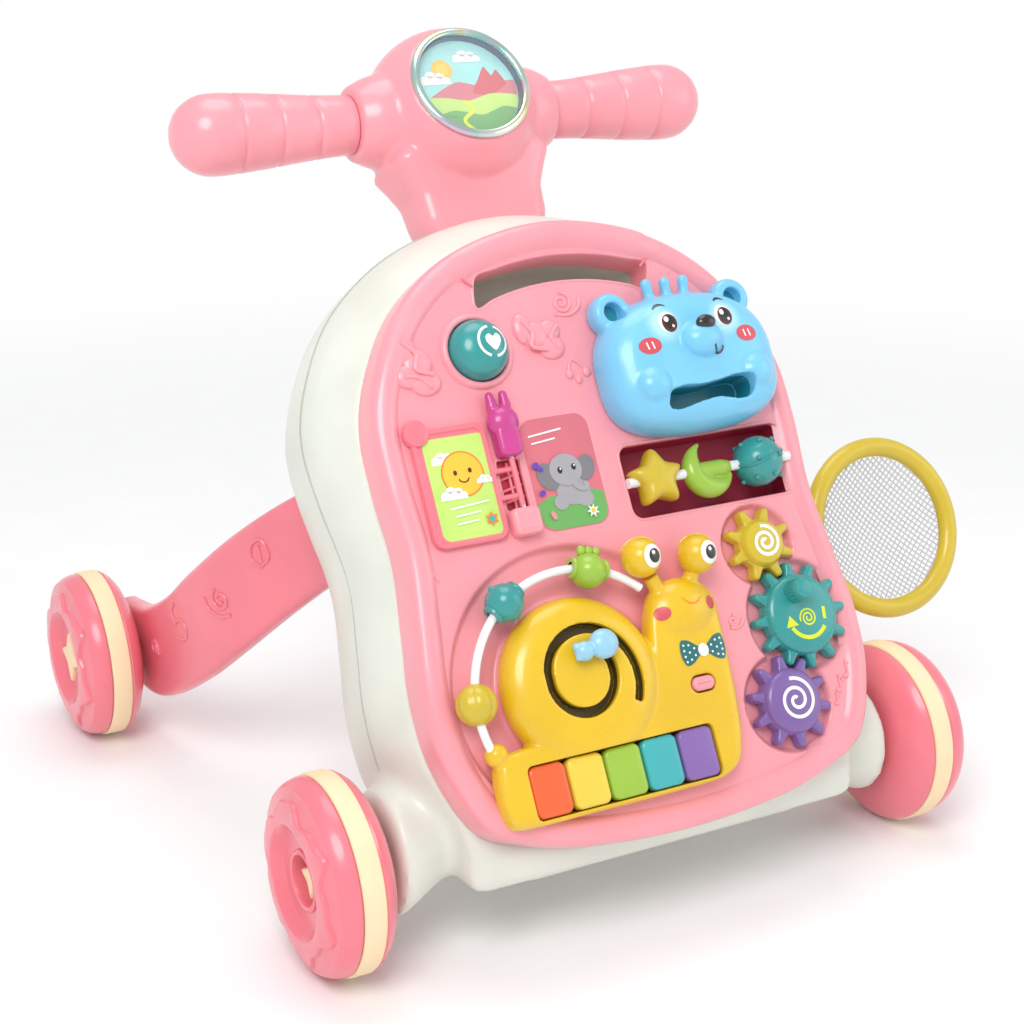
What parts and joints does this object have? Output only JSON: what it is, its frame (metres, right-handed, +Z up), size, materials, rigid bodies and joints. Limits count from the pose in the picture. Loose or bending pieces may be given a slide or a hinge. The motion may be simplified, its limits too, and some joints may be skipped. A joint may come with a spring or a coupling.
{
  "type": "baby walker",
  "caption": "Push-along baby walker with a leaning activity panel, handlebar with picture dial, wheels, geared spinners, flip book, piano keys, bead arc and side net hoop.",
  "frame": {"origin": "middle of the overall bounding box, on the floor under the wheels", "axes": "+Z up, -Y towards the front that the activity panel faces, +X towards the net hoop side"},
  "size_m": [0.4964, 0.4702, 0.4646],
  "materials": {
    "pink_plastic": "satin gloss moulded",
    "deep_pink_plastic": "satin gloss moulded",
    "white_plastic": "satin moulded",
    "cream_band": "soft matt band",
    "axle_steel": "bright drawn",
    "bezel_metal": "bright",
    "lens_clear": "clear",
    "picture_card": "printed",
    "rod_white": "smooth",
    "teal_plastic": "gloss",
    "yellow_plastic": "gloss",
    "green_plastic": "gloss",
    "purple_plastic": "gloss",
    "orange_plastic": "gloss",
    "magenta_plastic": "gloss",
    "blue_plastic": "gloss",
    "black_plastic": "matt",
    "board_green": "matt",
    "net_fabric": "knotted net"
  },
  "bodies": {
    "frame": {"rear_casing": "white_plastic", "front_panel": "pink_plastic", "base_plate": "white_plastic", "battery_door": "white_plastic", "battery_box": "black_plastic", "circuit_board": "board_green", "speaker": "black_plastic", "spinner_rod": "rod_white", "book_hinge_pin": "axle_steel", "rabbit_hinge_cap": "magenta_plastic", "bead_wire": "rod_white", "snail_body": "yellow_plastic", "left_eye": "yellow_plastic", "right_eye": "yellow_plastic", "bear_shell": "blue_plastic", "bear_mouth_tray": "teal_plastic", "left_rear_leg": "deep_pink_plastic", "right_rear_leg": "deep_pink_plastic", "front_axle": "axle_steel", "rear_left_axle": "axle_steel", "rear_right_axle": "axle_steel", "handle_head": "pink_plastic", "dial_bezel": "bezel_metal", "dial_picture": "picture_card", "dial_lens": "lens_clear", "left_grip": "pink_plastic", "right_grip": "pink_plastic", "hoop_ring": "yellow_plastic", "hoop_net": "net_fabric"},
    "front_left_wheel": {"front_left_wheel_outer": "deep_pink_plastic", "front_left_wheel_inner": "deep_pink_plastic", "front_left_tyre": "cream_band"},
    "front_right_wheel": {"front_right_wheel_outer": "deep_pink_plastic", "front_right_wheel_inner": "deep_pink_plastic", "front_right_tyre": "cream_band"},
    "rear_left_wheel": {"rear_left_wheel_outer": "deep_pink_plastic", "rear_left_wheel_inner": "deep_pink_plastic", "rear_left_tyre": "cream_band"},
    "rear_right_wheel": {"rear_right_wheel_outer": "deep_pink_plastic", "rear_right_wheel_inner": "deep_pink_plastic", "rear_right_tyre": "cream_band"},
    "crank_gear": {"crank_gear": "teal_plastic"},
    "yellow_gear": {"yellow_gear": "yellow_plastic"},
    "purple_gear": {"purple_gear": "purple_plastic"},
    "star_spinner": {"star_spinner": "yellow_plastic"},
    "moon_spinner": {"moon_spinner": "green_plastic"},
    "ball_spinner": {"ball_spinner": "teal_plastic"},
    "dome_button": {"dome_button": "teal_plastic"},
    "book_page": {"book_page": "deep_pink_plastic"},
    "yellow_bead": {"yellow_bead": "yellow_plastic"},
    "teal_bead": {"teal_bead": "teal_plastic"},
    "green_bead": {"green_bead": "green_plastic"},
    "snail_button": {"snail_button": "pink_plastic"},
    "piano_key_1": {"piano_key_1": "orange_plastic"},
    "piano_key_2": {"piano_key_2": "yellow_plastic"},
    "piano_key_3": {"piano_key_3": "green_plastic"},
    "piano_key_4": {"piano_key_4": "teal_plastic"},
    "piano_key_5": {"piano_key_5": "purple_plastic"},
    "track_knob": {"track_knob": "blue_plastic"}
  },
  "joints": [
    {"name": "front_left_wheel_spin", "type": "hinge", "parent": "frame", "child": "front_left_wheel", "pos_m": [-0.20452, -0.16737, 0.055], "axis": [1, 0, 0], "continuous": true},
    {"name": "front_right_wheel_spin", "type": "hinge", "parent": "frame", "child": "front_right_wheel", "pos_m": [0.16348, -0.16737, 0.055], "axis": [1, 0, 0], "continuous": true},
    {"name": "rear_left_wheel_spin", "type": "hinge", "parent": "frame", "child": "rear_left_wheel", "pos_m": [-0.22452, 0.18013, 0.055], "axis": [1, 0, 0], "continuous": true},
    {"name": "rear_right_wheel_spin", "type": "hinge", "parent": "frame", "child": "rear_right_wheel", "pos_m": [0.18348, 0.18013, 0.055], "axis": [1, 0, 0], "continuous": true},
    {"name": "crank_gear_spin", "type": "hinge", "parent": "frame", "child": "crank_gear", "pos_m": [0.07698, -0.18582, 0.15372], "axis": [0, -0.866, 0.5], "continuous": true},
    {"name": "yellow_gear_spin", "type": "hinge", "parent": "frame", "child": "yellow_gear", "pos_m": [0.0633, -0.16387, 0.19175], "axis": [0, -0.866, 0.5], "continuous": true},
    {"name": "purple_gear_spin", "type": "hinge", "parent": "frame", "child": "purple_gear", "pos_m": [0.0564, -0.20894, 0.11369], "axis": [0, -0.866, 0.5], "continuous": true},
    {"name": "star_spinner_spin", "type": "hinge", "parent": "frame", "child": "star_spinner", "pos_m": [0.00708, -0.14206, 0.23353], "axis": [1, 0, 0], "continuous": true},
    {"name": "moon_spinner_spin", "type": "hinge", "parent": "frame", "child": "moon_spinner", "pos_m": [0.04198, -0.14206, 0.23353], "axis": [1, 0, 0], "continuous": true},
    {"name": "ball_spinner_spin", "type": "hinge", "parent": "frame", "child": "ball_spinner", "pos_m": [0.07648, -0.14206, 0.23353], "axis": [1, 0, 0], "continuous": true},
    {"name": "dome_button_press", "type": "slide", "parent": "frame", "child": "dome_button", "axis": [0, 0.866, -0.5], "range_m": [0, 0.004], "stiffness_N_per_m": 500, "springref_m": -0.002},
    {"name": "snail_button_press", "type": "slide", "parent": "frame", "child": "snail_button", "axis": [0, 0.866, -0.5], "range_m": [0, 0.0025], "stiffness_N_per_m": 300, "springref_m": -0.002},
    {"name": "piano_key_1_press", "type": "slide", "parent": "frame", "child": "piano_key_1", "axis": [0, 0.866, -0.5], "range_m": [0, 0.003], "stiffness_N_per_m": 300, "springref_m": -0.002},
    {"name": "piano_key_2_press", "type": "slide", "parent": "frame", "child": "piano_key_2", "axis": [0, 0.866, -0.5], "range_m": [0, 0.003], "stiffness_N_per_m": 300, "springref_m": -0.002},
    {"name": "piano_key_3_press", "type": "slide", "parent": "frame", "child": "piano_key_3", "axis": [0, 0.866, -0.5], "range_m": [0, 0.003], "stiffness_N_per_m": 300, "springref_m": -0.002},
    {"name": "piano_key_4_press", "type": "slide", "parent": "frame", "child": "piano_key_4", "axis": [0, 0.866, -0.5], "range_m": [0, 0.003], "stiffness_N_per_m": 300, "springref_m": -0.002},
    {"name": "piano_key_5_press", "type": "slide", "parent": "frame", "child": "piano_key_5", "axis": [0, 0.866, -0.5], "range_m": [0, 0.003], "stiffness_N_per_m": 300, "springref_m": -0.002},
    {"name": "book_page_turn", "type": "hinge", "parent": "frame", "child": "book_page", "pos_m": [-0.07902, -0.13758, 0.24768], "axis": [0, 0.5, 0.866], "range_deg": [0, 175]},
    {"name": "yellow_bead_slide", "type": "hinge", "parent": "frame", "child": "yellow_bead", "pos_m": [-0.06952, -0.20274, 0.14443], "axis": [0, -0.866, 0.5], "range_deg": [-30, 8]},
    {"name": "teal_bead_slide", "type": "hinge", "parent": "frame", "child": "teal_bead", "pos_m": [-0.06952, -0.20274, 0.14443], "axis": [0, -0.866, 0.5], "range_deg": [-27, 30]},
    {"name": "green_bead_slide", "type": "hinge", "parent": "frame", "child": "green_bead", "pos_m": [-0.06952, -0.20274, 0.14443], "axis": [0, -0.866, 0.5], "range_deg": [-7, 27]},
    {"name": "track_knob_slide", "type": "hinge", "parent": "frame", "child": "track_knob", "pos_m": [-0.07502, -0.20715, 0.15679], "axis": [0, -0.866, 0.5], "range_deg": [-230, 0]}
  ],
  "couplings": [
    {"joint": "yellow_gear_spin", "follows": "crank_gear_spin", "ratio": -1.5},
    {"joint": "purple_gear_spin", "follows": "crank_gear_spin", "ratio": -1.2}
  ]
}
